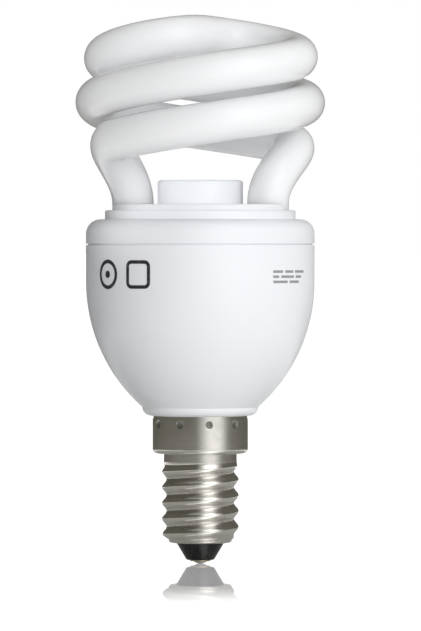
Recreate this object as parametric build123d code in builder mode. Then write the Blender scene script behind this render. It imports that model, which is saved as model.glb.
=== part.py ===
from build123d import *
from math import atan2, cos, degrees, pi, radians, sin
import os

# Energy saving bulb: a double-spiral fluorescent tube on a plastic housing with a small screw cap.
# Millimetres, +Z up. The origin is the bottom of the centre contact, on the lamp's axis.
# The lamp stands on its contact, its two tube legs lie along X, and its front faces -Y.

# Centre contact and black glass insulator
bead_diameter = 2.6
bead_height = 0.45
plate_diameter = 3.6
plate_thickness = 0.5
plate_stand_out = 0.2
contact_hole_diameter = 1.0
insulator_height = 3.1
insulator_tip_diameter = 4.9
insulator_root_diameter = 8.6
insulator_tip_rounding = 0.5
insulator_inner_height = 2.2

# Screw cap, size E14: rolled round thread, plain neck, shoulder and skirt
thread_major_diameter = 13.7
thread_minor_diameter = 12.1
thread_pitch = 2.822
thread_length = 13.9
thread_first_crest = 0.85
thread_run_in = 1.3
thread_run_out = 1.8
thread_spans = 12
cap_wall = 0.4
rim_height = 0.55
rim_rounding = 0.5
rim_slope_height = 0.75
neck_diameter = 13.0
neck_length = 1.5
skirt_diameter = 17.0
skirt_height = 6.75
skirt_corner = 0.8
skirt_lip_height = 0.55
skirt_lip_step = 0.12
stake_count = 10
stake_turn = 280.5
stake_radius = 2.0
stake_depth = 0.16
stake_drop = 1.45

# Ballast housing, the lower plastic cup
housing_diameter = 40.8
housing_wall = 1.2
foot_inner_diameter = 17.8
foot_outer_diameter = 20.7
foot_height = 1.5
bowl_height = 22.35
housing_rim_height = 6.55
housing_neck_wall = 1.0
housing_neck_length = 5.0
board_rib_count = 6
board_rib_depth = 1.5
board_rib_thickness = 1.0
board_rib_height = 5.0
board_rib_turn = 30.0

# Tube cover, the upper plastic shell
seam_gap = 0.25
seam_depth = 0.4
cover_rim_height = 4.6
cover_shoulder = 2.6
cover_ledge = 3.4
disc_height = 1.6
step_ledge = 1.3
step_height = 1.05
boss_to_leg = 4.45
boss_height = 4.3
boss_wall = 1.2
edge_rounding = 0.3
boss_rounding = 0.5
plate_depth = 2.5
spigot_length = 4.2
spigot_wall = 1.1
spigot_clearance = 0.1
snap_height = 0.3
snap_half_width = 0.5
sleeve_wall = 1.15
sleeve_depth = 2.0
leg_hole_clearance = 0.15

# Discharge tube: two strands of one tube, wound as a right-hand double spiral
tube_diameter = 7.4
strand_gap = 1.2
coil_diameter = 44.5
leg_from_disc_edge = 4.95
leg_y = 2.6
leg_below_cover = 6.5
leg_above_cover = 0.2
coil_lift = 9.6
left_turn_angle = 218.0
right_turn_angle = 210.0
coil_end_angle = 508.0
bend_reach = 6.0
crown_rise = 4.83
crown_spans = 6
seal_height = 1.6
seal_diameter = 4.8
pinch_width = 4.6
pinch_thickness = 1.8
pinch_height = 1.5
cement_height = 1.4
cement_lip = 0.3
cement_spread = 0.7

# Circuit board and the parts that stand on it
board_thickness = 1.2
board_clearance = 0.1
board_edge_clearance = 0.4
lead_diameter = 0.6
lead_clearance = 0.2
lead_bend = 0.8
lead_stick_out = 0.6
piece_clearance = 0.05

# Smoothing capacitor, up in the cover's boss
can_gap = 1.4
can_height = 12.0
can_stand_off = 0.4
can_rounding = 0.6
can_groove_depth = 0.35
can_groove_height = 1.6

# Lamp choke: pressed ferrite core, moulded bobbin and its winding
choke_x = -5.8
choke_y = 0.0
choke_stand_off = 1.0
core_width = 13.0
core_depth = 6.0
core_height = 12.4
core_limb = 2.0
core_middle_limb = 3.0
bobbin_wall = 0.7
bobbin_flange = 0.8
bobbin_flange_depth = 11.2
winding_inset = 0.3
choke_pin_x = 2.6
choke_pin_y = 4.6

# Drive ring with its one-turn windings
ring_x = 8.6
ring_y = 5.8
ring_outer_diameter = 9.4
ring_inner_diameter = 4.8
ring_height = 4.0
ring_stand_off = 0.9
ring_turn_count = 6
ring_turn_start = 15.0
ring_wire_diameter = 0.5

# Film capacitors
film_stand_off = 0.6
film_rounding = 0.8
starting_x = 8.8
starting_y = -3.6
starting_length = 10.0
starting_depth = 4.2
starting_height = 9.0
blocking_x = 5.6
blocking_y = -9.8
blocking_length = 9.0
blocking_depth = 4.0
blocking_height = 8.0
film_lead_inset = 1.25

# Transistors, in small round moulded cases with one flat side
transistor_1_x = -2.0
transistor_2_x = -8.8
transistor_y = -9.6
transistor_diameter = 4.6
transistor_flat = 1.2
transistor_height = 4.6
transistor_stand_off = 2.0
transistor_lead_pitch = 1.27
transistor_lead_diameter = 0.45

# Axial parts lying under the board: four rectifier diodes and two resistors
axial_stand_off = 0.6
axial_lead_pitch = 9.0
diode_diameter = 2.7
diode_length = 5.0
diode_1_x = -8.0
diode_1_y = 8.6
diode_2_x = -6.0
diode_2_y = 12.4
diode_3_x = 2.6
diode_3_y = 13.6
diode_4_x = -14.6
diode_4_y = 2.0
resistor_diameter = 2.3
resistor_length = 6.2
resistor_1_x = 15.2
resistor_1_y = -1.5
resistor_2_x = -4.6
resistor_2_y = -14.0

# Leads between the board and the cap
fuse_diameter = 2.8
fuse_length = 6.5
fuse_lift = 5.0
supply_lead_bend = 2.0
live_x = 2.6
live_y = 0.4
neutral_x = 0.8
neutral_y = 8.6
neutral_inside_y = 5.0
bowl_lead_height = 4.0

# Wrap pins and the tube's four filament leads
pin_width = 0.6
pin_height = 3.5
pin_from_spigot = 2.8
pin_spread_angle = 30.0
filament_diameter = 0.4
filament_pitch = 2.6
filament_drop = 0.8
wrap_turns = 3
wrap_clearance = 0.12

# Heights along the axis, from the contact up
plate_bottom_z = bead_height
insulator_bottom_z = plate_bottom_z + plate_stand_out
rim_z = insulator_bottom_z + insulator_height
thread_bottom_z = rim_z + rim_height
thread_top_z = thread_bottom_z + thread_length
shoulder_z = thread_top_z + neck_length
skirt_top_z = shoulder_z + skirt_height
bowl_bottom_z = skirt_top_z + foot_height
bowl_top_z = bowl_bottom_z + bowl_height
seam_z = bowl_top_z + housing_rim_height
shoulder_top_z = seam_z + cover_rim_height
disc_top_z = shoulder_top_z + disc_height
step_top_z = disc_top_z + step_height
boss_top_z = step_top_z + boss_height
ceiling_z = step_top_z - plate_depth
spigot_bottom_z = seam_z - spigot_length
snap_z = seam_z - spigot_length / 2
board_top_z = spigot_bottom_z - board_clearance
board_bottom_z = board_top_z - board_thickness
board_wire_top_z = board_top_z + lead_stick_out
board_wire_bottom_z = board_bottom_z - lead_stick_out

# Radii that several pieces share
thread_mean_radius = (thread_major_diameter + thread_minor_diameter) / 4
thread_offset = (thread_major_diameter - thread_minor_diameter) / 4
thread_bottom_radius = thread_minor_diameter / 2 - thread_offset
bore_radius = thread_minor_diameter / 2 - cap_wall
rim_hole_radius = insulator_root_diameter / 2 + piece_clearance
skirt_radius = skirt_diameter / 2
skirt_inner_radius = skirt_radius - cap_wall
housing_radius = housing_diameter / 2
housing_inner_radius = housing_radius - housing_wall
neck_outer_radius = skirt_inner_radius - piece_clearance
neck_inner_radius = neck_outer_radius - housing_neck_wall
spigot_radius = housing_inner_radius - spigot_clearance
spigot_inner_radius = spigot_radius - spigot_wall
disc_radius = housing_radius - cover_ledge
step_radius = disc_radius - step_ledge
tube_radius = tube_diameter / 2
leg_x = leg_from_disc_edge - disc_radius
boss_radius = -leg_x - boss_to_leg
boss_inner_radius = boss_radius - boss_wall
pin_circle_radius = spigot_inner_radius - pin_from_spigot
sleeve_radius = tube_radius + leg_hole_clearance + sleeve_wall
leg_spots = [(leg_x, leg_y), (-leg_x, -leg_y)]

# Spots of the parts on the board, each with its turn where it has one
starting_spot = (starting_x, starting_y)
starting_size = (starting_length, starting_depth, starting_height)
blocking_spot = (blocking_x, blocking_y)
blocking_size = (blocking_length, blocking_depth, blocking_height)
transistor_spots = [(transistor_1_x, transistor_y), (transistor_2_x, transistor_y)]
diode_spots = [
    (diode_1_x, diode_1_y, 0),
    (diode_2_x, diode_2_y, 0),
    (diode_3_x, diode_3_y, 0),
    (diode_4_x, diode_4_y, 90),
]
resistor_spots = [(resistor_1_x, resistor_1_y, 90), (resistor_2_x, resistor_2_y, 0)]
live_spot = (live_x, live_y)
neutral_spot = (neutral_x, neutral_y)

os.makedirs("parts", exist_ok=True)


# A closed outline of (radius, height, corner rounding) turned about the lamp's axis
def turned(*corners):
    with BuildPart() as piece:
        with BuildSketch(Plane.XZ):
            with BuildLine():
                FilletPolyline(
                    *[(radius, height) for radius, height, rounding in corners],
                    radius=[rounding for radius, height, rounding in corners],
                    close=True,
                )
            make_face()
        revolve(axis=Axis.Z)
    return piece.part


# A round wire along straight runs with tangent bends
def bent_wire(points, diameter, bend):
    with BuildPart() as piece:
        with BuildLine() as run:
            FilletPolyline(*points, radius=bend)
        with BuildSketch(Plane(origin=run.wire() @ 0, z_dir=run.wire() % 0)):
            Circle(diameter / 2)
        sweep(path=run.wire())
    return piece.part


# A plane at a height whose X axis is turned about the lamp's axis
def turned_plane(x, y, z, angle):
    return Plane(origin=(x, y, z), x_dir=(cos(radians(angle)), sin(radians(angle)), 0), z_dir=(0, 0, 1))


# The two lead holes of a part at a spot, a pitch apart along an angle
def lead_pair(x, y, angle, pitch):
    dx = cos(radians(angle)) * pitch / 2
    dy = sin(radians(angle)) * pitch / 2
    return [(x - dx, y - dy), (x + dx, y + dy)]


# Contact plate: a brass eyelet pressed into the glass
with BuildPart() as contact_plate:
    with BuildSketch(Plane.XY.offset(plate_bottom_z)):
        Circle(plate_diameter / 2)
        Circle(contact_hole_diameter / 2, mode=Mode.SUBTRACT)
    extrude(amount=plate_thickness)
contact_plate.part.label = "contact_plate"
export_step(contact_plate.part, "parts/contact_plate.step")

# Contact solder: the domed bead that closes the eyelet
bead_sphere_radius = ((bead_diameter / 2) ** 2 + bead_height**2) / (2 * bead_height)
with BuildPart() as contact_solder:
    with BuildSketch(Plane.XZ):
        with BuildLine():
            bead_axis = Line((0, bead_height), (0, 0))
            bead_dome = RadiusArc((0, 0), (bead_diameter / 2, bead_height), -bead_sphere_radius)
            Line(bead_dome @ 1, bead_axis @ 0)
        make_face()
    revolve(axis=Axis.Z)
contact_solder.part.label = "contact_solder"
export_step(contact_solder.part, "parts/contact_solder.step")

# Insulator: black glass cast into the cap, a cone outside and a plug inside the turned-in rim
floor_z = rim_z + cap_wall
slope_top_z = floor_z + rim_slope_height
plug_radius = bore_radius - piece_clearance
plug_bottom_radius = rim_hole_radius + rim_rounding
plate_seat_z = plate_bottom_z + plate_thickness
insulator_body = turned(
    (0, insulator_bottom_z, 0),
    (insulator_tip_diameter / 2, insulator_bottom_z, insulator_tip_rounding),
    (insulator_root_diameter / 2, rim_z, 0),
    (insulator_root_diameter / 2, floor_z + piece_clearance, 0),
    (plug_bottom_radius, floor_z + piece_clearance, 0),
    (plug_radius, slope_top_z + piece_clearance, 0),
    (plug_radius, slope_top_z + insulator_inner_height, 0),
    (0, slope_top_z + insulator_inner_height, 0),
)
with BuildPart() as cap_insulator:
    add(insulator_body)
    with BuildSketch(Plane.XY.offset(insulator_bottom_z)):
        Circle(plate_diameter / 2 + piece_clearance)
    extrude(amount=plate_seat_z - insulator_bottom_z, mode=Mode.SUBTRACT)
    with BuildSketch(Plane.XY.offset(insulator_bottom_z)):
        Circle(contact_hole_diameter / 2)
    extrude(amount=slope_top_z + insulator_inner_height, mode=Mode.SUBTRACT)
cap_insulator.part.label = "cap_insulator"
export_step(cap_insulator.part, "parts/cap_insulator.step")

# Screw shell: one drawn metal cup. The round thread is a circle set off the axis that turns
# as it climbs, and it grows out of the rim and dies into the neck.
thread_crest_z = thread_bottom_z + thread_first_crest
neck_radius = neck_diameter / 2


# A smooth growth from 0 to 1
def growth(share):
    share = min(max(share, 0), 1)
    return share**2 * (3 - 2 * share)


thread_sections = []
for span in range(thread_spans + 1):
    height = thread_bottom_z + thread_length * span / thread_spans
    grown_in = growth((height - thread_bottom_z) / thread_run_in)
    grown_out = growth((thread_top_z - height) / thread_run_out)
    radius = thread_bottom_radius + (thread_mean_radius - thread_bottom_radius) * grown_in
    radius += (neck_radius - thread_mean_radius) * (1 - grown_out)
    thread_sections.append((height, thread_offset * grown_in * grown_out, radius))

skirt_body = turned(
    (0, thread_top_z, 0),
    (neck_radius, thread_top_z, 0),
    (neck_radius, shoulder_z, 0),
    (skirt_radius, shoulder_z, skirt_corner),
    (skirt_radius, skirt_top_z - skirt_lip_height, 0),
    (skirt_radius - skirt_lip_step, skirt_top_z - skirt_lip_height, 0),
    (skirt_radius - skirt_lip_step, skirt_top_z, 0),
    (0, skirt_top_z, 0),
)
rim_body = turned(
    (0, rim_z, 0),
    (thread_bottom_radius, rim_z, rim_rounding),
    (thread_bottom_radius, thread_bottom_z, 0),
    (0, thread_bottom_z, 0),
)
shell_space = turned(
    (0, floor_z, 0),
    (plug_bottom_radius, floor_z, 0),
    (bore_radius, slope_top_z, 0),
    (bore_radius, shoulder_z + cap_wall, 0),
    (skirt_inner_radius, shoulder_z + cap_wall, skirt_corner - cap_wall),
    (skirt_inner_radius, skirt_top_z, 0),
    (0, skirt_top_z, 0),
)
with BuildPart() as screw_shell:
    with BuildLine() as thread_axis:
        Line((0, 0, thread_bottom_z), (0, 0, thread_top_z))
    with BuildLine() as thread_guide:
        Helix(thread_pitch, thread_length, thread_mean_radius, center=(0, 0, thread_bottom_z))
    for height, offset, radius in thread_sections:
        with BuildSketch(turned_plane(0, 0, height, 180 + 360 * (height - thread_crest_z) / thread_pitch)):
            with Locations((offset, 0)):
                Circle(radius)
    sweep(path=thread_axis.wire(), multisection=True, binormal=thread_guide.edges()[0])
    add(skirt_body)
    add(rim_body)
    add(shell_space, mode=Mode.SUBTRACT)
    with BuildSketch(Plane.XY.offset(rim_z)):
        Circle(rim_hole_radius)
    extrude(amount=cap_wall, mode=Mode.SUBTRACT)
    with Locations((0, 0, skirt_top_z - stake_drop)):
        with PolarLocations(skirt_radius + stake_radius - stake_depth, stake_count, start_angle=stake_turn):
            Sphere(stake_radius, mode=Mode.SUBTRACT)
screw_shell.part.label = "screw_shell"
export_step(screw_shell.part, "parts/screw_shell.step")

# Ballast housing: a moulded cup whose wall is one arc over a rounded foot, with a neck inside
# the skirt, ribs under the board and a groove for the cover's snap bead
foot_depth = (foot_outer_diameter - foot_inner_diameter) / 2
foot_rounding = (foot_depth**2 + foot_height**2) / (2 * foot_depth)
bowl_depth = housing_radius - foot_outer_diameter / 2
bowl_radius = (bowl_depth**2 + bowl_height**2) / (2 * bowl_depth)
bowl_centre_x = housing_radius - bowl_radius
inner_arc_radius = bowl_radius - housing_wall
cup_floor_z = skirt_top_z + housing_wall
cup_floor_radius = bowl_centre_x + (inner_arc_radius**2 - (bowl_top_z - cup_floor_z) ** 2) ** 0.5
neck_bottom_z = skirt_top_z - housing_neck_length
with BuildPart() as cup_space:
    with BuildSketch(Plane.XZ):
        with BuildLine():
            cup_neck = Polyline(
                (0, neck_bottom_z),
                (neck_inner_radius, neck_bottom_z),
                (neck_inner_radius, cup_floor_z),
                (cup_floor_radius, cup_floor_z),
            )
            cup_arc = RadiusArc(cup_neck @ 1, (housing_inner_radius, bowl_top_z), -inner_arc_radius)
            Polyline(
                cup_arc @ 1,
                (housing_inner_radius, snap_z - snap_half_width),
                (housing_inner_radius + snap_height, snap_z),
                (housing_inner_radius, snap_z + snap_half_width),
                (housing_inner_radius, seam_z),
                (0, seam_z),
                (0, neck_bottom_z),
            )
        make_face()
    revolve(axis=Axis.Z)
    with Locations((0, 0, board_bottom_z - board_rib_height / 2)):
        with PolarLocations(housing_inner_radius, board_rib_count, start_angle=board_rib_turn):
            Box(2 * board_rib_depth, board_rib_thickness, board_rib_height, mode=Mode.SUBTRACT)

with BuildPart() as ballast_housing:
    with BuildSketch(Plane.XZ):
        with BuildLine():
            outer_neck = Polyline(
                (0, neck_bottom_z),
                (neck_outer_radius, neck_bottom_z),
                (neck_outer_radius, skirt_top_z),
                (foot_inner_diameter / 2, skirt_top_z),
            )
            cup_foot = RadiusArc(outer_neck @ 1, (foot_outer_diameter / 2, bowl_bottom_z), -foot_rounding)
            cup_wall = RadiusArc(cup_foot @ 1, (housing_radius, bowl_top_z), -bowl_radius)
            Polyline(
                cup_wall @ 1,
                (housing_radius, seam_z),
                (0, seam_z),
                (0, neck_bottom_z),
            )
        make_face()
    revolve(axis=Axis.Z)
    add(cup_space.part, mode=Mode.SUBTRACT)
ballast_housing.part.label = "ballast_housing"
export_step(ballast_housing.part, "parts/ballast_housing.step")

# Tube cover: a moulded lid in two steps with a centre boss; its spigot snaps into the cup,
# and a sleeve under each leg hole takes the cement
cover_slope_z = shoulder_top_z - cover_shoulder - piece_clearance
ceiling_radius = spigot_inner_radius - (ceiling_z - cover_slope_z)
sleeve_bottom_z = ceiling_z - sleeve_depth
cover_body = turned(
    (0, spigot_bottom_z, 0),
    (spigot_radius, spigot_bottom_z, 0),
    (spigot_radius, snap_z - snap_half_width, 0),
    (spigot_radius + snap_height, snap_z, 0),
    (spigot_radius, snap_z + snap_half_width, 0),
    (spigot_radius, seam_z, 0),
    (housing_radius - seam_depth, seam_z, 0),
    (housing_radius - seam_depth, seam_z + seam_gap, 0),
    (housing_radius, seam_z + seam_gap, 0),
    (housing_radius, shoulder_top_z, cover_shoulder),
    (disc_radius, shoulder_top_z, 0),
    (disc_radius, disc_top_z, edge_rounding),
    (step_radius, disc_top_z, 0),
    (step_radius, step_top_z, edge_rounding),
    (boss_radius, step_top_z, 0),
    (boss_radius, boss_top_z, boss_rounding),
    (0, boss_top_z, 0),
)
cover_hollow = turned(
    (0, spigot_bottom_z, 0),
    (spigot_inner_radius, spigot_bottom_z, 0),
    (spigot_inner_radius, cover_slope_z, 0),
    (ceiling_radius, ceiling_z, 0),
    (boss_inner_radius, ceiling_z, 0),
    (boss_inner_radius, boss_top_z - boss_wall, 0),
    (0, boss_top_z - boss_wall, 0),
)
with BuildPart() as cover_space:
    add(cover_hollow)
    with BuildSketch(Plane.XY.offset(sleeve_bottom_z)):
        with Locations(*leg_spots):
            Circle(sleeve_radius)
    extrude(amount=sleeve_depth, mode=Mode.SUBTRACT)
with BuildPart() as tube_cover:
    add(cover_body)
    add(cover_space.part, mode=Mode.SUBTRACT)
    with BuildSketch(Plane.XY.offset(sleeve_bottom_z)):
        with Locations(*leg_spots):
            Circle(tube_radius + leg_hole_clearance)
    extrude(amount=boss_top_z - sleeve_bottom_z, mode=Mode.SUBTRACT)
tube_cover.part.label = "tube_cover"
export_step(tube_cover.part, "parts/tube_cover.step")

# Discharge tube: one glass tube bent to a double spiral. Each strand leaves its hole upright,
# bends into the right-hand turn, and the two meet in an S over the crown.
coil_radius = (coil_diameter - tube_diameter) / 2
coil_pitch = 2 * (tube_diameter + strand_gap)
coil_zero_z = step_top_z + coil_lift
leg_top_z = step_top_z + leg_above_cover
leg_bottom_z = step_top_z - leg_below_cover


# A point of the spiral's centreline, and its direction
def coil_point(angle):
    height = coil_zero_z + coil_pitch * (angle - 180) / 360
    return Vector(coil_radius * cos(radians(angle)), coil_radius * sin(radians(angle)), height)


def coil_direction(angle):
    along = Vector(-coil_radius * sin(radians(angle)), coil_radius * cos(radians(angle)), coil_pitch / (2 * pi))
    return along.normalized()


# A point of the crown, from the end of the spiral (share 0) to the axis (share 1)
def crown_point(share):
    low_z = coil_point(coil_end_angle).Z
    start_slope = coil_pitch / 4
    rise = start_slope * (share**3 - 2 * share**2 + share) + crown_rise * (3 * share**2 - 2 * share**3)
    radius = coil_radius * cos(radians(90 * share))
    angle = radians(coil_end_angle + 90 * share)
    return Vector(radius * cos(angle), radius * sin(angle), low_z + rise)


# One strand up to the crown: a straight leg, a bend, and its turn of the spiral from an angle on
def strand(turn_angle):
    leg_top = Vector(leg_x, leg_y, leg_top_z)
    turn_start = coil_point(turn_angle)
    turn_rise = coil_pitch * (coil_end_angle - turn_angle) / 360
    with BuildLine() as leg_line:
        Line((leg_x, leg_y, leg_bottom_z), leg_top)
    with BuildLine() as bend_line:
        Bezier(
            leg_top,
            leg_top + Vector(0, 0, bend_reach),
            turn_start - coil_direction(turn_angle) * bend_reach,
            turn_start,
        )
    with BuildLine() as turn_line:
        Helix(coil_pitch, turn_rise, coil_radius, center=(0, 0, turn_start.Z))
    return [leg_line.edge(), bend_line.edge(), turn_line.edge().rotate(Axis.Z, turn_angle)]


crown_half = [crown_point(share / crown_spans) for share in range(crown_spans + 1)]
crown_return = [Vector(-point.X, -point.Y, point.Z) for point in reversed(crown_half[:-1])]
crown_in = coil_direction(coil_end_angle)
with BuildLine() as crown_line:
    Spline(
        *crown_half,
        *crown_return,
        tangents=[crown_in, Vector(crown_in.X, crown_in.Y, -crown_in.Z)],
        tangent_scalars=[1.0, 1.0],
    )
right_strand = [piece.rotate(Axis.Z, 180) for piece in strand(right_turn_angle)]
tube_run = Wire(strand(left_turn_angle) + [crown_line.edge()] + right_strand)

seal_bottom_z = leg_bottom_z - seal_height
pinch_bottom_z = seal_bottom_z - pinch_height
leg_direction = degrees(atan2(leg_y, leg_x))
with BuildPart() as discharge_tube:
    with BuildSketch(Plane(origin=(leg_x, leg_y, leg_bottom_z), z_dir=(0, 0, 1))):
        Circle(tube_radius)
    sweep(path=tube_run)
    with Locations(*[(x, y, leg_bottom_z - seal_height / 2) for x, y in leg_spots]):
        Cone(seal_diameter / 2, tube_radius, seal_height)
    for x, y in leg_spots:
        with BuildSketch(turned_plane(x, y, pinch_bottom_z, leg_direction)):
            Rectangle(pinch_thickness, pinch_width)
        extrude(amount=pinch_height)
discharge_tube.part.label = "discharge_tube"
export_step(discharge_tube.part, "parts/discharge_tube.step")

# Tube cement: a bead round each leg under its sleeve
with BuildPart() as tube_cement:
    with Locations(*[(x, y, sleeve_bottom_z - cement_height / 2) for x, y in leg_spots]):
        Cone(tube_radius + cement_lip, tube_radius + cement_spread, cement_height)
        Cylinder(tube_radius + piece_clearance, cement_height, mode=Mode.SUBTRACT)
tube_cement.part.label = "tube_cement"
export_step(tube_cement.part, "parts/tube_cement.step")

# Places of all the leads on the board
can_radius = boss_inner_radius - can_gap
can_leads = lead_pair(0, 0, 90, can_radius)
choke_pin_spots = [
    (choke_x + side * choke_pin_x, choke_y + end * choke_pin_y) for side in (-1, 1) for end in (-1, 1)
]
ring_turn_angles = [ring_turn_start + 360 * turn / ring_turn_count for turn in range(ring_turn_count)]
ring_wire_gap = ring_wire_diameter / 2 + piece_clearance
ring_inner_wire = ring_inner_diameter / 2 - ring_wire_gap
ring_outer_wire = ring_outer_diameter / 2 + ring_wire_gap
ring_leads = [
    (ring_x + reach * cos(radians(angle)), ring_y + reach * sin(radians(angle)))
    for angle in ring_turn_angles
    for reach in (ring_inner_wire, ring_outer_wire)
]
film_leads = lead_pair(*starting_spot, 0, starting_size[0] - 2 * film_lead_inset)
film_leads += lead_pair(*blocking_spot, 0, blocking_size[0] - 2 * film_lead_inset)
transistor_leads = [
    (x + side * transistor_lead_pitch, y) for x, y in transistor_spots for side in (-1, 0, 1)
]
axial_leads = [
    hole for x, y, angle in diode_spots + resistor_spots for hole in lead_pair(x, y, angle, axial_lead_pitch)
]
pin_angles = [
    leg_direction + half + side * pin_spread_angle for half in (0, 180) for side in (-1, 1)
]
pin_spots = [
    (pin_circle_radius * cos(radians(angle)), pin_circle_radius * sin(radians(angle))) for angle in pin_angles
]

# Circuit board: a round laminate drilled for every lead, held between the ribs and the spigot
with BuildPart() as circuit_board:
    with BuildSketch(Plane.XY.offset(board_bottom_z)):
        Circle(housing_inner_radius - board_edge_clearance)
        with Locations(*can_leads, *choke_pin_spots, *film_leads, *axial_leads, live_spot, neutral_spot):
            Circle((lead_diameter + lead_clearance) / 2, mode=Mode.SUBTRACT)
        with Locations(*ring_leads):
            Circle((ring_wire_diameter + lead_clearance) / 2, mode=Mode.SUBTRACT)
        with Locations(*transistor_leads):
            Circle((transistor_lead_diameter + lead_clearance) / 2, mode=Mode.SUBTRACT)
        with Locations(*pin_spots):
            Circle((pin_width * 2**0.5 + lead_clearance) / 2, mode=Mode.SUBTRACT)
    extrude(amount=board_thickness)
circuit_board.part.label = "circuit_board"
export_step(circuit_board.part, "parts/circuit_board.step")

# Smoothing capacitor: a sleeved can with a rolled groove, its two leads through the board
can_bottom_z = board_wire_top_z + can_stand_off
can_top_z = can_bottom_z + can_height
groove_z = can_bottom_z + can_groove_height
can_body = turned(
    (0, can_bottom_z, 0),
    (can_radius, can_bottom_z, can_rounding),
    (can_radius, groove_z - can_groove_depth, 0),
    (can_radius - can_groove_depth, groove_z, 0),
    (can_radius, groove_z + can_groove_depth, 0),
    (can_radius, can_top_z, can_rounding),
    (0, can_top_z, 0),
)
with BuildPart() as smoothing_capacitor:
    add(can_body)
    with BuildSketch(Plane.XY.offset(board_wire_bottom_z)):
        with Locations(*can_leads):
            Circle(lead_diameter / 2)
    extrude(amount=can_bottom_z - board_wire_bottom_z)
smoothing_capacitor.part.label = "smoothing_capacitor"
export_step(smoothing_capacitor.part, "parts/smoothing_capacitor.step")

# Choke core: two pressed ferrite halves glued to one frame with three limbs
core_top_z = board_bottom_z - choke_stand_off
core_bottom_z = core_top_z - core_height
core_middle_z = (core_top_z + core_bottom_z) / 2
window_height = core_height - 2 * core_limb
window_width = (core_width - core_middle_limb) / 2 - core_limb
window_x = core_middle_limb / 2 + window_width / 2
with BuildPart() as choke_core:
    with Locations((choke_x, choke_y, core_middle_z)):
        Box(core_width, core_depth, core_height)
    with Locations((choke_x - window_x, choke_y, core_middle_z), (choke_x + window_x, choke_y, core_middle_z)):
        Box(window_width, core_depth, window_height, mode=Mode.SUBTRACT)
choke_core.part.label = "choke_core"
export_step(choke_core.part, "parts/choke_core.step")

# Choke bobbin: a moulded spool on the middle limb, its flanges fill the windows
bobbin_height = window_height - 2 * piece_clearance
spool_width = core_middle_limb + 2 * (piece_clearance + bobbin_wall)
spool_depth = core_depth + 2 * (piece_clearance + bobbin_wall)
flange_width = core_middle_limb + 2 * (window_width - piece_clearance)
flange_offset = bobbin_height / 2 - bobbin_flange / 2
with BuildPart() as choke_bobbin:
    with Locations((choke_x, choke_y, core_middle_z)):
        Box(spool_width, spool_depth, bobbin_height)
    with Locations(
        (choke_x, choke_y, core_middle_z - flange_offset), (choke_x, choke_y, core_middle_z + flange_offset)
    ):
        Box(flange_width, bobbin_flange_depth, bobbin_flange)
    with Locations((choke_x, choke_y, core_middle_z)):
        Box(
            core_middle_limb + 2 * piece_clearance,
            core_depth + 2 * piece_clearance,
            bobbin_height,
            mode=Mode.SUBTRACT,
        )
choke_bobbin.part.label = "choke_bobbin"
export_step(choke_bobbin.part, "parts/choke_bobbin.step")

# Choke winding: enamelled wire in one pack between the flanges
winding_height = bobbin_height - 2 * (bobbin_flange + piece_clearance)
winding_width = flange_width - 2 * winding_inset
winding_depth = bobbin_flange_depth - 2 * winding_inset
with BuildPart() as choke_winding:
    with BuildSketch(Plane.XY.offset(core_middle_z - winding_height / 2)):
        with Locations((choke_x, choke_y)):
            RectangleRounded(winding_width, winding_depth, bobbin_wall)
            Rectangle(
                spool_width + 2 * piece_clearance, spool_depth + 2 * piece_clearance, mode=Mode.SUBTRACT
            )
    extrude(amount=winding_height)
choke_winding.part.label = "choke_winding"
export_step(choke_winding.part, "parts/choke_winding.step")

# Choke pins: four round pins from the bobbin's upper flange up through the board
flange_top_z = core_middle_z + bobbin_height / 2
with BuildPart() as choke_pins:
    with BuildSketch(Plane.XY.offset(flange_top_z)):
        with Locations(*choke_pin_spots):
            Circle(lead_diameter / 2)
    extrude(amount=board_wire_top_z - flange_top_z)
choke_pins.part.label = "choke_pins"
export_step(choke_pins.part, "parts/choke_pins.step")

# Drive ring: a small ferrite ring hung under the board by its own windings
ring_top_z = board_bottom_z - ring_stand_off
ring_bottom_z = ring_top_z - ring_height
with BuildPart() as drive_ring:
    with BuildSketch(Plane.XY.offset(ring_bottom_z)):
        with Locations((ring_x, ring_y)):
            Circle(ring_outer_diameter / 2)
            Circle(ring_inner_diameter / 2, mode=Mode.SUBTRACT)
    extrude(amount=ring_height)
    fillet(drive_ring.edges().filter_by(GeomType.CIRCLE), edge_rounding)
drive_ring.part.label = "drive_ring"
export_step(drive_ring.part, "parts/drive_ring.step")

# Drive winding: wires that pass once through the ring, both ends in the board
ring_wire_z = ring_bottom_z - ring_wire_gap
ring_wires = []
for inner, outer in zip(ring_leads[0::2], ring_leads[1::2]):
    ring_wires.append(
        bent_wire(
            [
                (inner[0], inner[1], board_wire_top_z),
                (inner[0], inner[1], ring_wire_z),
                (outer[0], outer[1], ring_wire_z),
                (outer[0], outer[1], board_wire_top_z),
            ],
            ring_wire_diameter,
            ring_wire_diameter,
        )
    )
with BuildPart() as drive_winding:
    for wire in ring_wires:
        add(wire)
drive_winding.part.label = "drive_winding"
export_step(drive_winding.part, "parts/drive_winding.step")


# A film capacitor: a dipped block under the board on two straight leads
def film_capacitor(spot, size):
    length, depth, height = size
    top_z = board_bottom_z - film_stand_off
    with BuildPart() as piece:
        with Locations((spot[0], spot[1], top_z - height / 2)):
            Box(length, depth, height)
        fillet(piece.edges(), film_rounding)
        with BuildSketch(Plane.XY.offset(top_z - film_rounding)):
            with Locations(*lead_pair(spot[0], spot[1], 0, length - 2 * film_lead_inset)):
                Circle(lead_diameter / 2)
        extrude(amount=board_wire_top_z - top_z + film_rounding)
    return piece.part


starting_capacitor = film_capacitor(starting_spot, starting_size)
starting_capacitor.label = "starting_capacitor"
export_step(starting_capacitor, "parts/starting_capacitor.step")
blocking_capacitor = film_capacitor(blocking_spot, blocking_size)
blocking_capacitor.label = "blocking_capacitor"
export_step(blocking_capacitor, "parts/blocking_capacitor.step")


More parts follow.
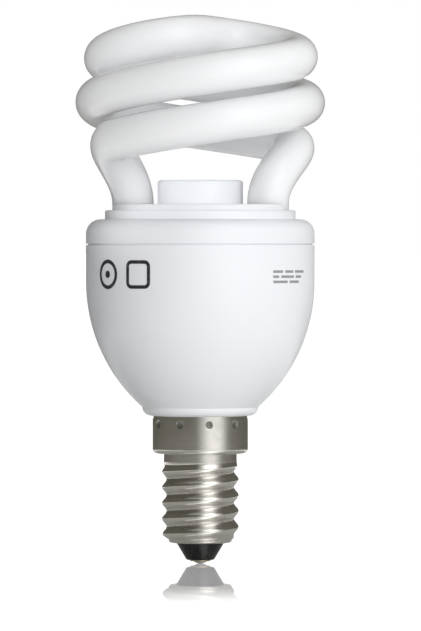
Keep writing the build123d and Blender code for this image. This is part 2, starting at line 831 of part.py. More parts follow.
# A transistor: a half-round moulded case on three leads in a row
def transistor(spot):
    top_z = board_bottom_z - transistor_stand_off
    with BuildPart() as piece:
        with BuildSketch(Plane.XY.offset(top_z - transistor_height)):
            with Locations(spot):
                Circle(transistor_diameter / 2)
            with Locations((spot[0], spot[1] + transistor_flat + transistor_diameter / 2)):
                Rectangle(transistor_diameter, transistor_diameter, mode=Mode.SUBTRACT)
        extrude(amount=transistor_height)
        with BuildSketch(Plane.XY.offset(top_z)):
            with Locations(*[(spot[0] + side * transistor_lead_pitch, spot[1]) for side in (-1, 0, 1)]):
                Circle(transistor_lead_diameter / 2)
        extrude(amount=board_wire_top_z - top_z)
    return piece.part


for number, spot in enumerate(transistor_spots, start=1):
    moulded_case = transistor(spot)
    moulded_case.label = f"transistor_{number}"
    export_step(moulded_case, f"parts/transistor_{number}.step")


# An axial part: a round body on one wire, both ends bent up through the board
def axial_part(x, y, angle, diameter, length):
    body_z = board_bottom_z - axial_stand_off - diameter / 2
    near, far = lead_pair(x, y, angle, axial_lead_pitch)
    wire = bent_wire(
        [(*near, board_wire_top_z), (*near, body_z), (*far, body_z), (*far, board_wire_top_z)],
        lead_diameter,
        lead_bend,
    )
    along = Vector(cos(radians(angle)), sin(radians(angle)), 0)
    start = Vector(x, y, body_z) - along * (length / 2)
    with BuildPart() as piece:
        with BuildSketch(Plane(origin=start, z_dir=along)):
            Circle(diameter / 2)
        extrude(amount=length)
        fillet(piece.edges().filter_by(GeomType.CIRCLE), edge_rounding)
        add(wire)
    return piece.part


for number, (x, y, angle) in enumerate(diode_spots, start=1):
    diode = axial_part(x, y, angle, diode_diameter, diode_length)
    diode.label = f"diode_{number}"
    export_step(diode, f"parts/diode_{number}.step")

for number, (x, y, angle) in enumerate(resistor_spots, start=1):
    resistor = axial_part(x, y, angle, resistor_diameter, resistor_length)
    resistor.label = f"resistor_{number}"
    export_step(resistor, f"parts/resistor_{number}.step")

# Fuse resistor: a round body in the cap on the live lead, from the solder bead to the board
fuse_bottom_z = slope_top_z + insulator_inner_height + fuse_lift
lead_rise_z = skirt_top_z + bowl_lead_height
live_lead = bent_wire(
    [
        (0, 0, bead_height),
        (0, 0, lead_rise_z),
        (live_spot[0], live_spot[1], lead_rise_z + bowl_lead_height),
        (live_spot[0], live_spot[1], board_wire_top_z),
    ],
    lead_diameter,
    supply_lead_bend,
)
with BuildPart() as fuse_resistor:
    add(live_lead)
    with Locations((0, 0, fuse_bottom_z + fuse_length / 2)):
        Cylinder(fuse_diameter / 2, fuse_length)
fuse_resistor.part.label = "fuse_resistor"
export_step(fuse_resistor.part, "parts/fuse_resistor.step")

# Neutral lead: from the board down the neck, and out to the skirt under the housing's neck
neutral_end_z = neck_bottom_z - piece_clearance - lead_diameter / 2
neutral_lead = bent_wire(
    [
        (neutral_spot[0], neutral_spot[1], board_wire_top_z),
        (neutral_spot[0], neutral_spot[1], lead_rise_z + 2 * bowl_lead_height),
        (0, neutral_inside_y, lead_rise_z),
        (0, neutral_inside_y, neutral_end_z),
        (0, skirt_inner_radius - piece_clearance, neutral_end_z),
    ],
    lead_diameter,
    lead_bend,
)
neutral_lead.label = "neutral_lead"
export_step(neutral_lead, "parts/neutral_lead.step")

# Wrap pins: square pins pressed through the board
for number, spot in enumerate(pin_spots, start=1):
    with BuildPart() as wrap_pin:
        with BuildSketch(turned_plane(spot[0], spot[1], board_wire_bottom_z, pin_angles[number - 1])):
            Rectangle(pin_width, pin_width)
        extrude(amount=board_top_z + pin_height - board_wire_bottom_z)
    wrap_pin.part.label = f"wrap_pin_{number}"
    export_step(wrap_pin.part, f"parts/wrap_pin_{number}.step")

# Filament leads: two wires out of each pinch, each wrapped round its pin
wrap_radius = pin_width * 2**0.5 / 2 + wrap_clearance + filament_diameter / 2
wrap_step = filament_diameter * 0.85
wrap_z = pinch_bottom_z - filament_drop
for number, spot in enumerate(pin_spots, start=1):
    leg = leg_spots[(number - 1) // 2]
    near, far = lead_pair(leg[0], leg[1], leg_direction + 90, filament_pitch)
    start = min((near, far), key=lambda hole: (hole[0] - spot[0]) ** 2 + (hole[1] - spot[1]) ** 2)
    reach = Vector(spot[0] - start[0], spot[1] - start[1], 0)
    end = Vector(start[0], start[1], 0) + reach.normalized() * (reach.length - wrap_radius)
    run = bent_wire(
        [(start[0], start[1], pinch_bottom_z), (start[0], start[1], wrap_z), (end.X, end.Y, wrap_z)],
        filament_diameter,
        filament_diameter,
    )
    with BuildPart() as filament_lead:
        add(run)
        for turn in range(wrap_turns):
            with Locations((spot[0], spot[1], wrap_z + turn * wrap_step)):
                Torus(wrap_radius, filament_diameter / 2)
    filament_lead.part.label = f"filament_lead_{number}"
    export_step(filament_lead.part, f"parts/filament_lead_{number}.step")
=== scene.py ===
from math import cos, radians, sin

import bpy
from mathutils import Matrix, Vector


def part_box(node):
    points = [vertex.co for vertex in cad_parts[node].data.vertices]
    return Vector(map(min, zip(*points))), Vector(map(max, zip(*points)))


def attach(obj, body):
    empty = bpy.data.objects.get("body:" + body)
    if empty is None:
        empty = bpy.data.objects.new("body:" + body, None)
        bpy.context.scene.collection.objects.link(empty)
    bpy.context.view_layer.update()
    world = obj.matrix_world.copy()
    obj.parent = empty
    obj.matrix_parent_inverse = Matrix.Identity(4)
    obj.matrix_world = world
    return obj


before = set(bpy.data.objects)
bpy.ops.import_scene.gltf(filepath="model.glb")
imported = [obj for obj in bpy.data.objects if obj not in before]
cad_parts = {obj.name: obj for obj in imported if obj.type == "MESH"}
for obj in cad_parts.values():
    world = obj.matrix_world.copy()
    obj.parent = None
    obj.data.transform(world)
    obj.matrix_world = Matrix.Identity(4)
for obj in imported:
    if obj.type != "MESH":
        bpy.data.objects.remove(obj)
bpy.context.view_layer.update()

# Contact solder: the bead of tin that closes the eyelet at the lamp's tip.
# It is melted on by hand, so its skin is dull, slightly grainy and never quite even.


class Tone:
    # A value or colour at one place of a finish. Sums of values add the Math nodes they need.
    def __init__(self, tree, socket):
        self.tree = tree
        self.socket = socket

    # Any node: its type, its settings, then the values or links of its sockets
    def node(self, kind, settings, sockets, output=0):
        made = self.tree.nodes.new(kind)
        for name, value in settings.items():
            setattr(made, name, value)
        return self.fill(made, sockets, output)

    def fill(self, made, sockets, output=0):
        for key, value in sockets.items():
            if isinstance(value, Tone):
                self.tree.links.new(value.socket, made.inputs[key])
            else:
                made.inputs[key].default_value = value
        return Tone(self.tree, made.outputs[output])

    def math(self, operation, first, second):
        return self.node("ShaderNodeMath", {"operation": operation}, {0: first, 1: second})

    def __add__(self, other):
        return self.math("ADD", self, other)

    def __radd__(self, other):
        return self.math("ADD", other, self)

    def __rsub__(self, other):
        return self.math("SUBTRACT", other, self)

    def __mul__(self, other):
        return self.math("MULTIPLY", self, other)

    def __rmul__(self, other):
        return self.math("MULTIPLY", other, self)

    def __pow__(self, other):
        return self.math("POWER", self, other)

    # 0 below low, 1 above high, and a soft step between them
    def step(self, low, high):
        return self.node(
            "ShaderNodeMapRange",
            {"interpolation_type": "SMOOTHSTEP"},
            {"Value": self, "From Min": low, "From Max": high},
        )

    # This share of one colour over another. The colour under it is plain or a tone itself.
    def blend(self, under, over):
        lower = under if isinstance(under, Tone) else (*under, 1)
        return self.node("ShaderNodeMix", {"data_type": "RGBA"}, {0: self, 6: lower, 7: (*over, 1)}, 2)

    # A place stretched along X, Y and Z
    def stretched(self, along):
        return self.node("ShaderNodeVectorMath", {"operation": "MULTIPLY"}, {0: self, 1: along})

    # Cloudy variation at this place, with about as many patches to the metre as the scale says
    def clouds(self, scale, detail=2.0):
        return self.node("ShaderNodeTexNoise", {}, {"Vector": self, "Scale": scale, "Detail": detail})

    # How far this place lies along X, Y or Z
    def along(self, axis):
        return self.node("ShaderNodeSeparateXYZ", {}, {"Vector": self}, axis)

    # How far this place is from the lamp's axis
    def off_axis(self):
        return (self.along("X") ** 2 + self.along("Y") ** 2) ** 0.5

    # A small relief in the surface, its depth in metres
    def relief(self, strength, depth):
        sockets = {"Strength": strength, "Distance": depth, "Height": self}
        return self.node("ShaderNodeBump", {}, sockets, "Normal")

    # What the finish's shader gets: plain numbers on its sockets, tones by links
    def paint(self, sockets):
        self.fill(self.tree.nodes["Principled BSDF"], sockets)


def new_finish(name):
    finish = bpy.data.materials.new(name)
    finish.use_nodes = True
    place = finish.node_tree.nodes.new("ShaderNodeTexCoord")
    return finish, Tone(finish.node_tree, place.outputs["Object"])


def dress(finish, *nodes):
    for node in nodes:
        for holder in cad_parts[node].material_slots:
            holder.material = finish


solder_dark = (0.44, 0.43, 0.41)
solder_bright = (0.66, 0.65, 0.62)
solder, place = new_finish("dull_solder")
grain = place.clouds(scale=2600, detail=3)
place.paint({
    "Base Color": grain.step(0.3, 0.7).blend(solder_dark, solder_bright),
    "Metallic": 1.0,
    "Roughness": 0.34 + grain * 0.2,
    "Normal": grain.relief(strength=0.25, depth=0.00006),
})
dress(solder, "contact_solder")

# Contact plate: the tinned brass eyelet that is pressed into the glass before it sets.
# It is stamped from strip, and brass shows only where the tin is rubbed thin.
tinned_skin = (0.60, 0.56, 0.48)
bare_brass = (0.60, 0.49, 0.29)
brass, place = new_finish("tinned_brass")
tarnish = place.clouds(scale=900, detail=3).step(0.35, 0.7)
strip_lines = place.stretched((1, 1, 0.1)).clouds(scale=4000)
place.paint({
    "Base Color": tarnish.blend(tinned_skin, bare_brass),
    "Metallic": 1.0,
    "Roughness": 0.26 + tarnish * 0.16,
    "Normal": strip_lines.relief(strength=0.15, depth=0.00003),
})
dress(brass, "contact_plate")

# Cap insulator: black glass, cast hot into the turned-in rim of the cap.
# Its skin is fire-polished but slightly wavy, with a few duller patches.
polished_black = (0.006, 0.006, 0.007)
dull_black = (0.020, 0.019, 0.018)
cap_glass, place = new_finish("black_cap_glass")
patches = place.clouds(scale=420, detail=2)
waves = place.clouds(scale=900, detail=2)
place.paint({
    "Base Color": patches.step(0.4, 0.75).blend(polished_black, dull_black),
    "Roughness": 0.16 + patches * 0.2,
    "Specular IOR Level": 0.32,
    "Normal": waves.relief(strength=0.25, depth=0.0001),
})
dress(cap_glass, "cap_insulator")

# Screw shell: thin sheet metal, drawn to a cup, its thread rolled in and then nickel plated.
# The rolls leave fine rings all round, and the plating has a grey bloom in random patches. The thread's
# roots and the corner at the shoulder are darkened in the colour as painted shade.
# The dimples under the skirt's rim are punched last, and their dark colour is painted shade.
bright_nickel = (0.72, 0.70, 0.66)
bloom_and_shade_grey = (0.26, 0.245, 0.215)
# Painted shade for the punched dimples
dimple_painted_shade = (0.10, 0.093, 0.080)
skirt_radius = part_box("screw_shell")[1].x
skirt_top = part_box("screw_shell")[1].z
root_radius = 0.00612
crest_radius = 0.0067
thread_end = (0.0186, 0.0194)
corner_start = (0.0192, 0.0198)
corner_end = (0.0199, 0.0212)
dimple_height = skirt_top - 0.0015
dimple_core = 0.0007
dimple_edge = 0.0009
shallowest_dent = 0.000012
full_dent = 0.00004
nickel, place = new_finish("rolled_nickel")
height = place.along("Z")
across = place.off_axis()
# Painted shade: the thread's roots and the shoulder's corner are darkened in the colour
root_shade = (1 - across.step(root_radius, crest_radius)) * (1 - height.step(*thread_end))
corner_shade = height.step(*corner_start) * (1 - height.step(*corner_end))
bloom = place.clouds(scale=260, detail=4).step(0.42, 0.72)
rings = place.stretched((60, 60, 9000)).clouds(scale=1.0, detail=2)
over_dimples = height.step(dimple_height + dimple_core, dimple_height + dimple_edge)
dimple_band = height.step(dimple_height - dimple_edge, dimple_height - dimple_core) * (1 - over_dimples)
punched = dimple_band * (1 - across.step(skirt_radius - full_dent, skirt_radius - shallowest_dent))
# Random grey bloom, mixed with painted shade in the thread's roots and the shoulder's corner
bloom_and_shade = root_shade * 0.28 + bloom * 0.22 + corner_shade * 0.15
plating = bloom_and_shade.blend(bright_nickel, bloom_and_shade_grey)
place.paint({
    # The dimples are painted dark as shade
    "Base Color": (punched * 0.75).blend(plating, dimple_painted_shade),
    "Metallic": 1.0,
    "Roughness": 0.17 + bloom_and_shade * 0.22 + rings * 0.06 + punched * 0.3,
    "Normal": rings.relief(strength=0.08, depth=0.00003),
})
dress(nickel, "screw_shell")

# Ballast housing and tube cover: two white mouldings that snap together at the seam.
# The plastic is satin, faintly cool, with a fine moulded grain and the odd handling mark.
plastic_white = (0.886, 0.900, 0.924)
plastic_shade = (0.848, 0.864, 0.892)
plastic, place = new_finish("satin_white_plastic")
flow = place.clouds(scale=55, detail=2)
grain = place.clouds(scale=5200, detail=2)
rubbed = place.stretched((1, 1, 0.35)).clouds(scale=240, detail=4).step(0.56, 0.78)
shade = flow * 0.5 + grain * 0.2 + rubbed * 0.3
place.paint({
    "Base Color": shade.blend(plastic_white, plastic_shade),
    "Roughness": 0.30 + grain * 0.08 + rubbed * 0.12,
    "Specular IOR Level": 0.35,
    "Normal": grain.relief(strength=0.05, depth=0.00003),
})
dress(plastic, "ballast_housing", "tube_cover")

# Printed marks: a few plain shapes in black ink, pad printed on the housing under the seam.
# The ink is a thin film that follows the curved wall, slightly matt, thin in places and
# paler on the right side.
ink_black = (0.018, 0.018, 0.024)
ink_worn = (0.85, 0.86, 0.88)
ink_film = 0.00003
paler_side = (0.0, 0.004)
housing_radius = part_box("ballast_housing")[1].x
ink, place = new_finish("pad_printed_ink")
thin = place.clouds(scale=1700, detail=3).step(0.5, 0.8)
faint = place.along("X").step(*paler_side)
place.paint({
    "Base Color": (thin * 0.1 + faint * 0.35).blend(ink_black, ink_worn),
    "Roughness": 0.5 + thin * 0.2,
})


# A flat outline drawn on XY is stood up, turned to its place round the housing and laid on its wall
def lay_ink(mark, name, turn, level):
    mark.name = name
    mark.rotation_euler = (radians(90), 0, turn)
    mark.location = (housing_radius * sin(turn), -housing_radius * cos(turn), level)
    bpy.ops.object.transform_apply(location=True, rotation=True, scale=True)
    wrap = mark.modifiers.new("wrap", "SHRINKWRAP")
    wrap.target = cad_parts["ballast_housing"]
    wrap.wrap_method = "NEAREST_SURFACEPOINT"
    wrap.wrap_mode = "ABOVE_SURFACE"
    wrap.offset = ink_film
    bpy.ops.object.modifier_apply(modifier="wrap")
    film = mark.modifiers.new("film", "SOLIDIFY")
    film.thickness = ink_film
    film.offset = -1
    bpy.ops.object.modifier_apply(modifier="film")
    mark.data.materials.clear()
    mark.data.materials.append(ink)
    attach(mark, "root")


# Ring with a dot
ring_radius = 0.0026
ring_line = 0.00065
ring_turn = radians(-53)
mark_level = 0.0517
bpy.ops.object.select_all(action="DESELECT")
bpy.ops.mesh.primitive_circle_add(vertices=56, radius=ring_radius, fill_type="NOTHING")
bpy.ops.object.mode_set(mode="EDIT")
bpy.ops.mesh.extrude_edges_move()
bpy.ops.transform.resize(value=(1 - ring_line / ring_radius,) * 3)
bpy.ops.mesh.select_all(action="DESELECT")
bpy.ops.mesh.primitive_circle_add(vertices=24, radius=ring_line, fill_type="TRIFAN")
bpy.ops.mesh.select_all(action="SELECT")
bpy.ops.mesh.normals_make_consistent(inside=False)
bpy.ops.object.mode_set(mode="OBJECT")
lay_ink(bpy.context.object, "printed_ring", ring_turn, mark_level)

# Rounded frame
frame_side = 0.0050
frame_line = 0.00062
frame_corner = 0.0011
frame_turn = radians(-32.5)
bpy.ops.object.select_all(action="DESELECT")
bpy.ops.mesh.primitive_plane_add(size=frame_side)
bpy.ops.object.mode_set(mode="EDIT")
bpy.ops.mesh.bevel(offset=frame_corner, segments=6, affect="VERTICES")
bpy.ops.mesh.select_all(action="SELECT")
bpy.ops.mesh.inset(thickness=frame_line)
bpy.ops.mesh.delete(type="FACE")
bpy.ops.mesh.select_all(action="SELECT")
bpy.ops.mesh.subdivide(number_cuts=4)
bpy.ops.object.mode_set(mode="OBJECT")
lay_ink(bpy.context.object, "printed_frame", frame_turn, mark_level)

# Short dashes in three rows: each row's height over the middle one, then where its dashes start and end
dash_height = 0.00045
dash_turn = radians(51)
dash_level = 0.0513
dash_rows = ((0.0009, (-0.0044, -0.0020), (-0.0014, 0.0008), (0.0014, 0.0044)),
             (0.0, (-0.0044, -0.0030), (-0.0024, 0.0010), (0.0016, 0.0034)),
             (-0.0009, (-0.0044, -0.0008), (-0.0002, 0.0026)))
for row_number, (row_height, *dashes) in enumerate(dash_rows, start=1):
    for dash_number, (start, end) in enumerate(dashes, start=1):
        bpy.ops.object.select_all(action="DESELECT")
        bpy.ops.mesh.primitive_grid_add(x_subdivisions=8, y_subdivisions=2, size=1)
        bpy.ops.object.mode_set(mode="EDIT")
        bpy.ops.transform.resize(value=(end - start, dash_height, 1))
        bpy.ops.transform.translate(value=((start + end) / 2, row_height, 0))
        bpy.ops.object.mode_set(mode="OBJECT")
        lay_ink(bpy.context.object, f"printed_dash_{row_number}_{dash_number}", dash_turn, dash_level)

# Circuit board: tan laminate, sawn round and drilled for every lead.
# The sheet shows the faint weave of its paper and some flux stain.
laminate_tan = (0.52, 0.36, 0.17)
laminate_brown = (0.33, 0.20, 0.08)
laminate, place = new_finish("tan_laminate")
weave = place.stretched((1, 0.12, 1)).clouds(scale=2400, detail=3)
flux = place.clouds(scale=180, detail=3).step(0.5, 0.75)
place.paint({
    "Base Color": (weave * 0.6 + flux * 0.4).blend(laminate_tan, laminate_brown),
    "Roughness": 0.5 + weave * 0.2,
    "Normal": weave.relief(strength=0.1, depth=0.00003),
})
dress(laminate, "circuit_board")

# Smoothing capacitor: an aluminium can in a shrunk dark sleeve.
# The sleeve is glossy and creases slightly where it was shrunk over the rim.
sleeve_dark = (0.012, 0.016, 0.035)
sleeve_pale = (0.035, 0.042, 0.075)
sleeve, place = new_finish("shrunk_sleeve")
crease = place.stretched((1, 1, 0.25)).clouds(scale=700, detail=3)
place.paint({
    "Base Color": crease.step(0.35, 0.75).blend(sleeve_dark, sleeve_pale),
    "Roughness": 0.22 + crease * 0.2,
    "Normal": crease.relief(strength=0.15, depth=0.00006),
})
dress(sleeve, "smoothing_capacitor")

# Choke core and drive ring: pressed and fired ferrite, dark grey.
# The skin is matt and grainy, a little lighter on its ground faces.
ferrite_dark = (0.025, 0.024, 0.025)
ferrite_grey = (0.075, 0.072, 0.070)
ferrite, place = new_finish("fired_ferrite")
grain = place.clouds(scale=3400, detail=4)
place.paint({
    "Base Color": grain.step(0.3, 0.75).blend(ferrite_dark, ferrite_grey),
    "Roughness": 0.55 + grain * 0.25,
    "Normal": grain.relief(strength=0.3, depth=0.00005),
})
dress(ferrite, "choke_core", "drive_ring")

# Choke bobbin: a small black moulding that slides on the middle limb.
# Its plastic is matt with short flow marks along the flanges.
bobbin_grey = (0.105, 0.104, 0.102)
bobbin_dark = (0.070, 0.069, 0.068)
bobbin, place = new_finish("bobbin_moulding")
flow = place.stretched((0.3, 1, 1)).clouds(scale=900, detail=3)
place.paint({
    "Base Color": flow.step(0.3, 0.75).blend(bobbin_grey, bobbin_dark),
    "Roughness": 0.42 + flow * 0.16,
    "Normal": flow.relief(strength=0.08, depth=0.00003),
})
dress(bobbin, "choke_bobbin")

# Choke winding and drive winding: enamelled copper wire, layer on layer.
# Each turn is a thin ridge, and the lacquer makes the copper dark and glossy. The colour is darker between
# the turns and lighter on them, as painted shade and painted highlight.
copper_deep = (0.26, 0.085, 0.025)
copper_bright = (0.55, 0.23, 0.075)
copper, place = new_finish("enamelled_copper")
turn_ridges_and_shade = place.node("ShaderNodeTexWave", {"bands_direction": "Z"}, {
    "Vector": place, "Scale": 620.0, "Distortion": 1.2, "Detail": 1.0,
}, "Fac")
lacquer = place.clouds(scale=500, detail=2)
place.paint({
    # Painted shade between the turns and painted highlight on them, mixed with random lacquer tone
    "Base Color": (turn_ridges_and_shade * 0.6 + lacquer * 0.4).blend(copper_deep, copper_bright),
    "Metallic": 0.85,
    "Roughness": 0.28 + lacquer * 0.18,
    "Normal": turn_ridges_and_shade.relief(strength=0.5, depth=0.00008),
})
dress(copper, "choke_winding", "drive_winding")

# Film capacitors: two dipped blocks in brick red lacquer.
# The dip runs a little, so the coat is uneven and glossy.
brick_red = (0.36, 0.075, 0.030)
deep_red = (0.22, 0.040, 0.018)
dip, place = new_finish("dipped_lacquer")
runs = place.stretched((1, 1, 0.4)).clouds(scale=420, detail=3)
place.paint({
    "Base Color": runs.step(0.3, 0.75).blend(brick_red, deep_red),
    "Roughness": 0.22 + runs * 0.22,
    "Normal": runs.relief(strength=0.2, depth=0.00008),
})
dress(dip, "starting_capacitor", "blocking_capacitor")

# Transistors and diodes: black moulded cases with a fine spark-eroded grain.
# Only their leads are bare, and those are hidden by the board.
case_black = (0.012, 0.012, 0.013)
case_grey = (0.036, 0.035, 0.034)
moulding, place = new_finish("black_moulding")
grain = place.clouds(scale=4200, detail=3)
place.paint({
    "Base Color": grain.step(0.3, 0.75).blend(case_black, case_grey),
    "Roughness": 0.48 + grain * 0.22,
    "Normal": grain.relief(strength=0.25, depth=0.00004),
})
dress(moulding, "transistor_1", "transistor_2", "diode_1", "diode_2", "diode_3", "diode_4")

# Resistors: ceramic rods under a matt beige coat that is sprayed on.
# The coat is slightly pimpled, and darker where it is thick.
coat_beige = (0.60, 0.44, 0.26)
coat_brown = (0.46, 0.31, 0.17)
beige, place = new_finish("beige_coat")
pimples = place.clouds(scale=2600, detail=3)
place.paint({
    "Base Color": pimples.step(0.3, 0.75).blend(coat_beige, coat_brown),
    "Roughness": 0.44 + pimples * 0.2,
    "Normal": pimples.relief(strength=0.2, depth=0.00004),
})
dress(beige, "resistor_1", "resistor_2", "fuse_resistor")

# Neutral lead: stranded wire in soft plastic insulation, from the board to the cap's side.
# The insulation is faintly ribbed by the strands inside.
insulation_white = (0.80, 0.80, 0.78)
insulation_shade = (0.68, 0.68, 0.65)
insulation, place = new_finish("soft_insulation")
ribs = place.stretched((1, 1, 0.3)).clouds(scale=1500, detail=2)
place.paint({
    "Base Color": ribs.step(0.3, 0.75).blend(insulation_white, insulation_shade),
    "Roughness": 0.45 + ribs * 0.15,
    "Normal": ribs.relief(strength=0.15, depth=0.00004),
})
dress(insulation, "neutral_lead")

# Choke pins, wrap pins and filament leads: tinned wire, drawn and then dipped.
# The tin is bright in some places and duller in others, as the dip left it.
bright_tin = (0.70, 0.69, 0.66)
dull_tin = (0.50, 0.49, 0.47)
tinned, place = new_finish("tinned_wire")
dip_marks = place.clouds(scale=1300, detail=3)
place.paint({
    "Base Color": dip_marks.step(0.3, 0.75).blend(bright_tin, dull_tin),
    "Metallic": 1.0,
    "Roughness": 0.24 + dip_marks * 0.22,
    "Normal": dip_marks.relief(strength=0.15, depth=0.00003),
})
dress(tinned, "choke_pins")
for number in (1, 2, 3, 4):
    dress(tinned, f"wrap_pin_{number}", f"filament_lead_{number}")

# Tube cement: white putty round each leg under the cover, pressed on wet.
# It dries chalky and rough.
cement_white = (0.70, 0.68, 0.63)
cement_grey = (0.56, 0.54, 0.49)
putty, place = new_finish("chalky_cement")
chalk = place.clouds(scale=1600, detail=4)
place.paint({
    "Base Color": chalk.step(0.3, 0.75).blend(cement_white, cement_grey),
    "Roughness": 0.7 + chalk * 0.2,
    "Normal": chalk.relief(strength=0.4, depth=0.0001),
})
dress(putty, "tube_cement")

# Discharge tube: one glass tube, coated white inside, softened and wound as a double spiral.
# The glass is smooth and glossy over the milky coat, which is a little thicker here and there.
# Its skin is joined and evened, so that the light runs over the crown without streaks.
tube_white = (0.902, 0.908, 0.918)
tube_shade = (0.864, 0.872, 0.883)
light_reach = 0.006
skin_join = 0.000002
glass, place = new_finish("milky_tube_glass")
coat = place.clouds(scale=90, detail=3)
specks = place.clouds(scale=2200, detail=2)
place.paint({
    "Base Color": (coat * 0.75 + specks * 0.25).blend(tube_white, tube_shade),
    "Roughness": 0.30 + coat * 0.1,
    "Specular IOR Level": 0.15,
    "Coat Weight": 0.9,
    "Coat Roughness": 0.08,
    "Coat IOR": 1.3,
    "Subsurface Weight": 0.75,
    "Subsurface Radius": (1.0, 1.0, 1.0),
    "Subsurface Scale": light_reach,
    "Normal": coat.relief(strength=0.04, depth=0.0002),
})
dress(glass, "discharge_tube")
join_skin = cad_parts["discharge_tube"].modifiers.new("join_skin", "WELD")
join_skin.merge_threshold = skin_join
even_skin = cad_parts["discharge_tube"].modifiers.new("even_skin", "WEIGHTED_NORMAL")
even_skin.weight = 50

# Studio floor: a wide white table, polished round the lamp's foot.
# It stays white to the camera and only darkens where the lamp shades it.
floor_reach = 30.0
table_grey = (0.93, 0.93, 0.93, 1)
table_glow = 0.04
glow_in_sight = 0.56
polish = 0.74
polish_near = 0.058
polish_far = 0.115


# 1 for what the camera sees, straight or by way of gloss and glass, and 0 for plain light
def in_sight(tone):
    camera_ray, glossy_ray, glass_ray = [
        tone.node("ShaderNodeLightPath", {}, {}, f"Is {kind} Ray")
        for kind in ("Camera", "Glossy", "Transmission")
    ]
    return tone.math("MAXIMUM", camera_ray, tone.math("MAXIMUM", glossy_ray, glass_ray))


# A shader that is the whole finish by itself
def cover(shader):
    shader.tree.links.new(shader.socket, shader.tree.nodes["Material Output"].inputs["Surface"])


bpy.ops.object.select_all(action="DESELECT")
bpy.ops.mesh.primitive_plane_add(size=2 * floor_reach, location=(0, 0, 0))
floor = bpy.context.object
floor.name = "studio_floor"
table_white, place = new_finish("white_table")
table_light = table_glow + in_sight(place) * glow_in_sight
matt = place.node("ShaderNodeBsdfDiffuse", {}, {"Color": table_grey})
glow = place.node("ShaderNodeEmission", {}, {"Color": (1, 1, 1, 1), "Strength": table_light})
lit = place.node("ShaderNodeAddShader", {}, {0: matt, 1: glow})
mirror = place.node("ShaderNodeBsdfGlossy", {}, {"Color": (1, 1, 1, 1), "Roughness": 0.0})
polished = polish * (1 - place.off_axis().step(polish_near, polish_far))
cover(place.node("ShaderNodeMixShader", {}, {0: polished, 1: lit, 2: mirror}))
floor.data.materials.append(table_white)

# Studio room: white all round, and brighter to the right and at the back.
# All its light is white, so that every finish shows its own colour.
room_level = 0.555
room_lean = 1.0
room_back = 0.35
world = bpy.data.worlds.new("studio_room")
bpy.context.scene.world = world
world.use_nodes = True
room = world.node_tree
facing = Tone(room, room.nodes.new("ShaderNodeTexCoord").outputs["Generated"])
seen = in_sight(facing)
room_light = room_level * (1 + facing.along("X") * room_lean + facing.along("Y") * room_back)
facing.fill(room.nodes["Background"], {"Color": (1, 1, 1, 1), "Strength": room_light * (1 - seen) + seen})

# Front panel: a wide soft box that stands on the table behind the camera, a little to the right.
# It gives most of the light on the lamp's front, and bright metal doesn't mirror it.
panel_distance = 1.25
panel_width = 1.3
panel_height = 0.5
panel_turn = radians(11)
panel_tilt = radians(82)
panel = bpy.data.lights.new("front_panel", "AREA")
panel.shape = "RECTANGLE"
panel.size = panel_width
panel.size_y = panel_height
panel.energy = 8.1
panel_holder = bpy.data.objects.new("front_panel", panel)
bpy.context.scene.collection.objects.link(panel_holder)
panel_holder.location.x = panel_distance * sin(panel_turn)
panel_holder.location.y = -panel_distance * cos(panel_turn)
panel_holder.location.z = panel_height / 2
panel_holder.rotation_euler = (panel_tilt, 0, panel_turn)
panel_holder.visible_glossy = False

# Narrow beams: one from the front left reaches in under the spiral to the cover's boss.
# The other comes from the left and lifts the shaded side of the spiral alone.
beam_lens = 0.006
gap_place = (-0.65, -0.62, 0.0642)
gap_turn = radians(-46.35)
spiral_distance = 0.9
spiral_level = 0.0865
spiral_turn = radians(-75)
spiral_place = (spiral_distance * sin(spiral_turn), -spiral_distance * cos(spiral_turn), spiral_level)


def narrow_beam(name, power, spread, soft_edge, position, turn):
    beam = bpy.data.lights.new(name, "SPOT")
    beam.energy = power
    beam.spot_size = spread
    beam.spot_blend = soft_edge
    beam.shadow_soft_size = beam_lens
    beam_holder = bpy.data.objects.new(name, beam)
    bpy.context.scene.collection.objects.link(beam_holder)
    beam_holder.location = position
    beam_holder.rotation_euler = (radians(90), 0, turn)
    beam_holder.visible_glossy = False


narrow_beam(
    "gap_light", power=9.0, spread=radians(1.0), soft_edge=0.3, position=gap_place, turn=gap_turn,
)
narrow_beam(
    "spiral_light", power=4.6, spread=radians(2.2), soft_edge=0.4, position=spiral_place, turn=spiral_turn,
)

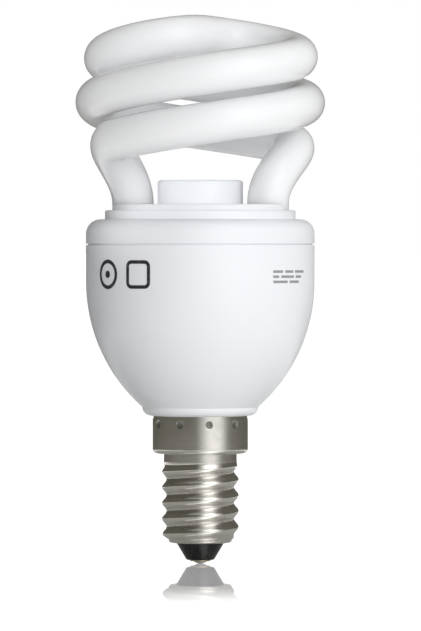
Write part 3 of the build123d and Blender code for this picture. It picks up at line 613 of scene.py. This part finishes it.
# Wrap screen: a curved board round the lamp that only bright metal and gloss mirror.
# It is dark at the sides and fades up to white a little right of the camera.
# In the table's own mirror image all of it is white, so that the table stays clean.
screen_radius = 0.16
screen_height = 0.4
screen_foot = 0.0002
screen_dark = (0.125, 0.121, 0.100)
screen_white = (1.15, 1.15, 1.15)
fade_in = (-0.25, 0.5)
fade_out = (0.68, 1.0)
front_edge = (-0.02, 0.02)
brighter_from = (0.03, 0.12)
brighter_by = 1.2
past_first_bounce = (1.4, 1.6)
bpy.ops.object.select_all(action="DESELECT")
bpy.ops.mesh.primitive_circle_add(vertices=180, radius=screen_radius, location=(0, 0, screen_foot))
screen = bpy.context.object
screen.name = "wrap_screen"
bpy.ops.object.mode_set(mode="EDIT")
bpy.ops.mesh.extrude_edges_move(TRANSFORM_OT_translate={"value": (0, 0, screen_height)})
bpy.ops.object.mode_set(mode="OBJECT")
screen_shade, place = new_finish("faded_screen")
side = place.along("X") * (1 / screen_radius)
front = 1 - place.along("Y").step(*front_edge)
fade = side.step(*fade_in) * (1 - side.step(*fade_out)) * front
raised = place.along("Z").step(*brighter_from) * brighter_by
sharp = place.node("ShaderNodeLightPath", {}, {}, "Is Singular Ray")
bounces = place.node("ShaderNodeLightPath", {}, {}, "Ray Depth")
in_table = sharp * (1 - bounces.step(*past_first_bounce))
cover(place.node("ShaderNodeEmission", {}, {
    "Color": place.math("MAXIMUM", fade, in_table).blend(screen_dark, screen_white),
    "Strength": 1 + raised * fade,
}))
screen.data.materials.append(screen_shade)
screen.visible_camera = False
screen.visible_diffuse = False
screen.visible_transmission = False
screen.visible_shadow = False

# Camera: a long lens nearly level with the lamp's housing, as for a catalogue picture.
# It stands straight in front and looks down by less than a degree.
camera_distance = 0.9
camera_height = 0.05685
camera_tilt = radians(89.2)
camera_pan = radians(-0.116)
camera_data = bpy.data.cameras.new("catalogue_camera")
camera_data.sensor_width = 36.0
camera_data.lens = 287.66
camera_data.clip_end = 100.0
camera = bpy.data.objects.new("catalogue_camera", camera_data)
bpy.context.scene.collection.objects.link(camera)
camera.location = (0, -camera_distance, camera_height)
camera.rotation_euler = (camera_tilt, 0, camera_pan)
bpy.context.scene.camera = camera
bpy.context.scene.view_settings.view_transform = "Standard"
